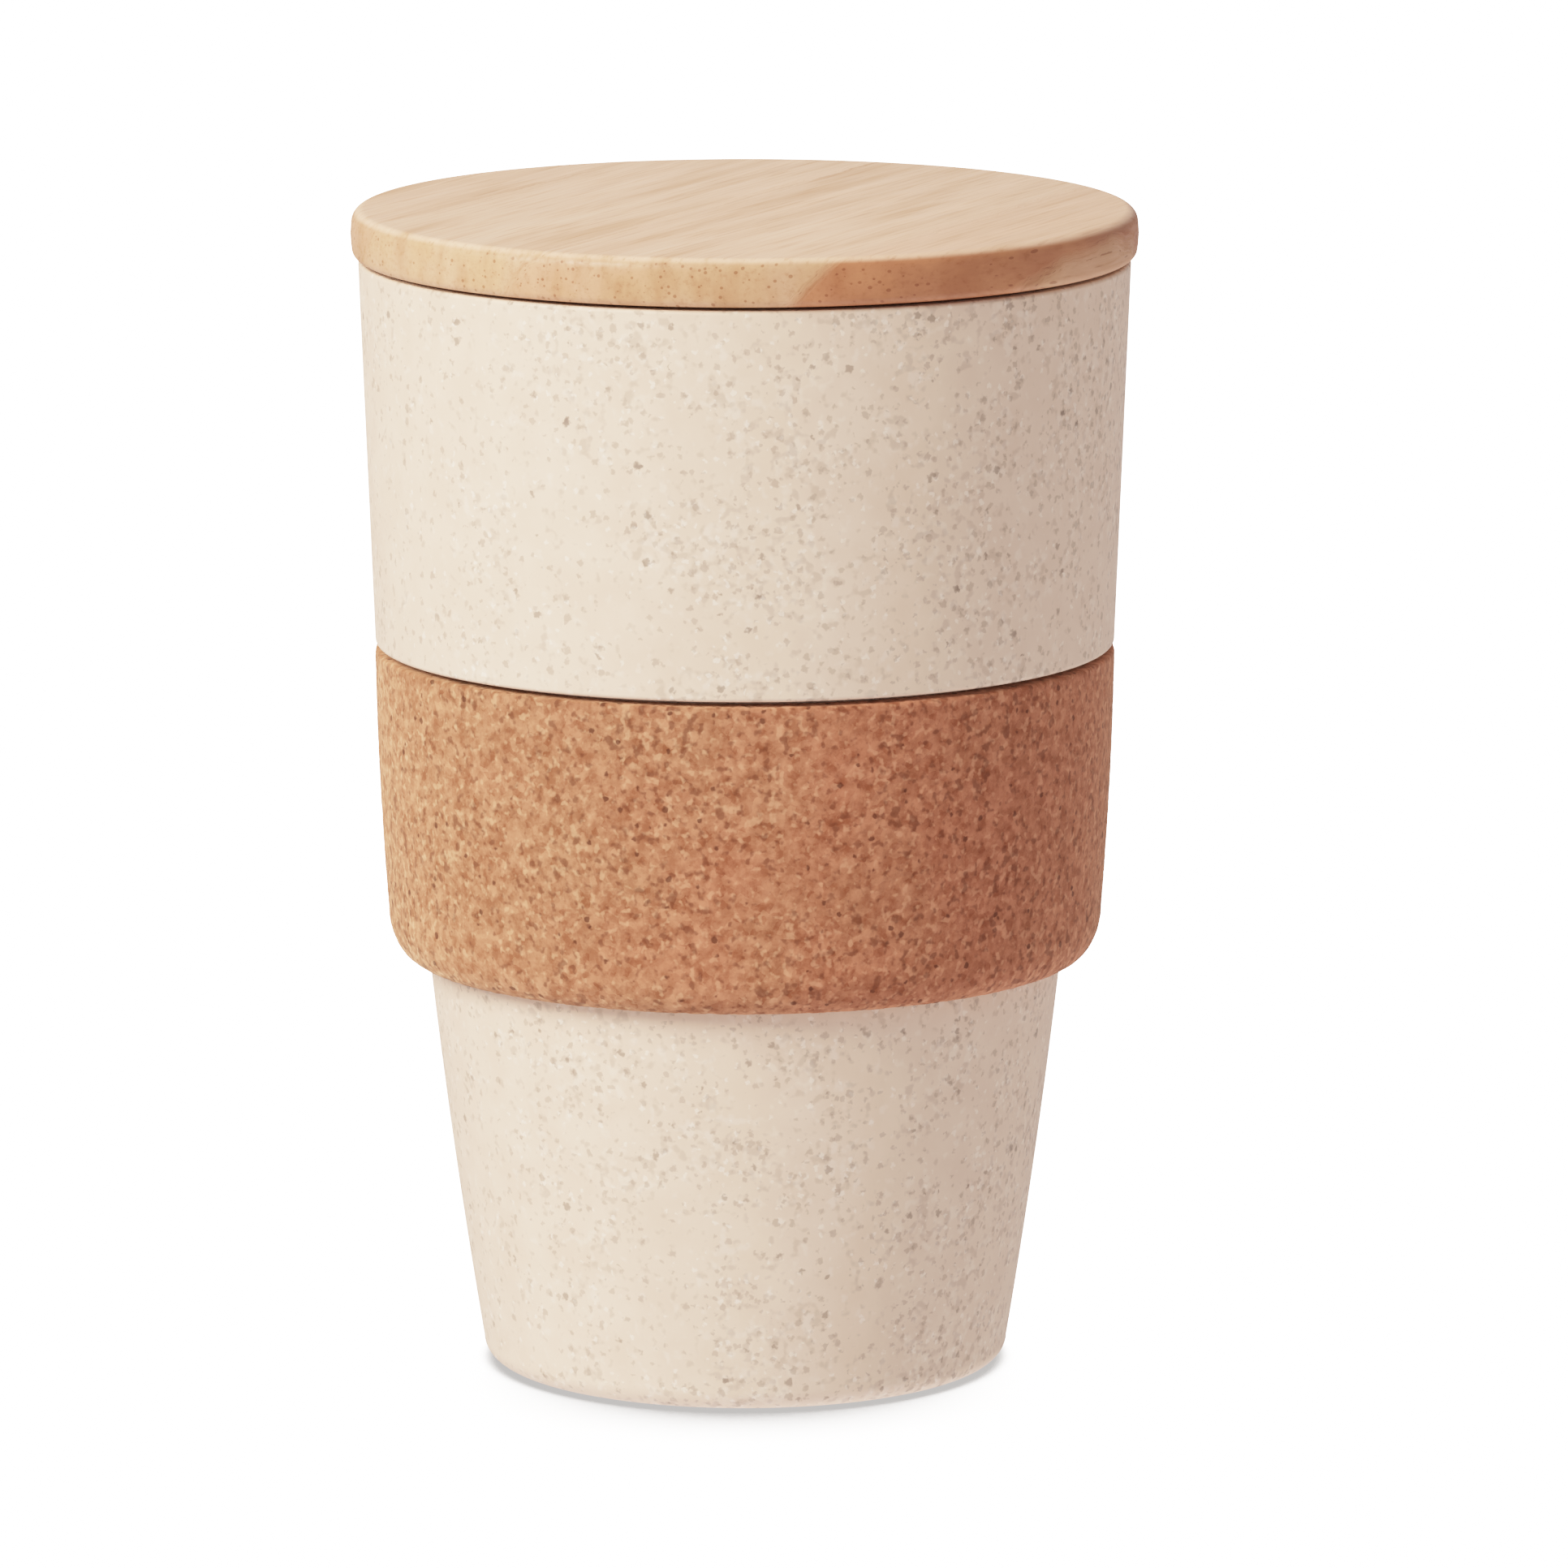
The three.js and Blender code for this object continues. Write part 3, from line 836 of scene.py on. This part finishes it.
def add_floor():
    """A table that glows evenly, with a thin contact shade all round the mug and a softer one in front.
    Its far sides turn up, so that no horizon shows in low views."""
    mesh = bpy.data.meshes.new("floor")
    square = ((-1, -1), (1, -1), (1, 1), (-1, 1))
    levels = (-FLOOR_DROP, SWEEP_HEIGHT)
    corners = [(x * FLOOR_HALF, y * FLOOR_HALF, z) for z in levels for x, y in square]
    sides = [(i + 4, (i + 1) % 4 + 4, (i + 1) % 4, i) for i in range(4)]
    mesh.from_pydata(corners, [], [(0, 1, 2, 3), *sides])
    look = Look("floor", roughness=0.9)
    look.shader.inputs["Base Color"].default_value = (0, 0, 0, 1)
    look.shader.inputs["Specular IOR Level"].default_value = 0.0
    look.shader.inputs["Emission Color"].default_value = FLOOR_COLOUR
    close = look.node("ShaderNodeAmbientOcclusion", {"Distance": CONTACT_REACH}, samples=CONTACT_SAMPLES)
    contact = look.fade(close.outputs["AO"], *CONTACT_OPEN, SHADE_GLOW, FLOOR_GLOW)
    lean = {1: math.sin(FRONT_LEAN), 2: math.cos(FRONT_LEAN)}
    toward = look.node("ShaderNodeCombineXYZ", lean).outputs[0]
    inputs = {"Distance": FRONT_REACH, "Normal": toward}
    wide = look.node("ShaderNodeAmbientOcclusion", inputs, samples=FRONT_SAMPLES)
    front = look.fade(wide.outputs["AO"], *FRONT_OPEN, SHADE_GLOW, FLOOR_GLOW, straight=True)
    look.link(look.math("MINIMUM", contact, front), "Emission Strength")
    mesh.materials.append(look.material)
    floor = bpy.data.objects.new("floor", mesh)
    bpy.context.collection.objects.link(floor)
    floor.visible_diffuse = False
    floor.visible_glossy = False
    floor.visible_shadow = False


def add_room():
    """An even room light. It is brighter below, most of all straight below, in place of the light
    that a white table sends back up."""
    world = bpy.data.worlds.new("room")
    world.use_nodes = True
    nodes, links = world.node_tree.nodes, world.node_tree.links
    way = nodes.new("ShaderNodeSeparateXYZ")
    links.new(nodes.new("ShaderNodeTexCoord").outputs["Generated"], way.inputs[0])

    def step(low, high, to_low, to_high):
        level = nodes.new("ShaderNodeMapRange")
        level.interpolation_type = "SMOOTHSTEP"
        for socket, value in zip(level.inputs[1:5], (low, high, to_low, to_high)):
            socket.default_value = value
        links.new(way.outputs["Z"], level.inputs["Value"])
        return level.outputs["Result"]

    total = nodes.new("ShaderNodeMath")
    links.new(step(-ROOM_BLEND, ROOM_BLEND, ROOM_BELOW, ROOM_ABOVE), total.inputs[0])
    links.new(step(-1.0, -NADIR_START, ROOM_NADIR - ROOM_BELOW, 0.0), total.inputs[1])
    links.new(total.outputs[0], nodes["Background"].inputs["Strength"])
    nodes["Background"].inputs["Color"].default_value = ROOM_COLOUR
    bpy.context.scene.world = world


def add_key():
    data = bpy.data.lights.new("key", "AREA")
    data.shape = "DISK"
    data.size = KEY_SIZE
    data.energy = KEY_POWER
    data.color = KEY_COLOUR
    key = bpy.data.objects.new("key", data)
    level = math.cos(KEY_ELEVATION)
    across, ahead = math.sin(KEY_AZIMUTH) * level, -math.cos(KEY_AZIMUTH) * level
    way = Vector((across, ahead, math.sin(KEY_ELEVATION)))
    key.location = Vector((0, 0, AIM_HEIGHT)) + way * KEY_DISTANCE
    key.rotation_euler = way.to_track_quat("Z", "Y").to_euler()
    bpy.context.collection.objects.link(key)


def add_tone():
    view = bpy.context.scene.view_settings
    view.view_transform = "Standard"
    view.look = "None"
    view.use_curve_mapping = True
    curve = view.curve_mapping
    curve.white_level = (TONE_WHITE, TONE_WHITE, TONE_WHITE)
    line = curve.curves[ALL_COLOURS]
    for i in range(TONE_STEPS + 1):
        share = (i / TONE_STEPS) ** 2  # closer steps among the darker values
        value = share * TONE_WHITE
        shown = min(1.0, value / (1 + (value / TONE_TOP) ** TONE_BEND) ** (1 / TONE_BEND))
        if i in (0, TONE_STEPS):
            line.points[0 if i == 0 else len(line.points) - 1].location = (share, shown)
        else:
            line.points.new(share, shown)
    for point in line.points:
        point.handle_type = "VECTOR"
    curve.update()


add_camera()
add_floor()
add_room()
add_key()
add_tone()
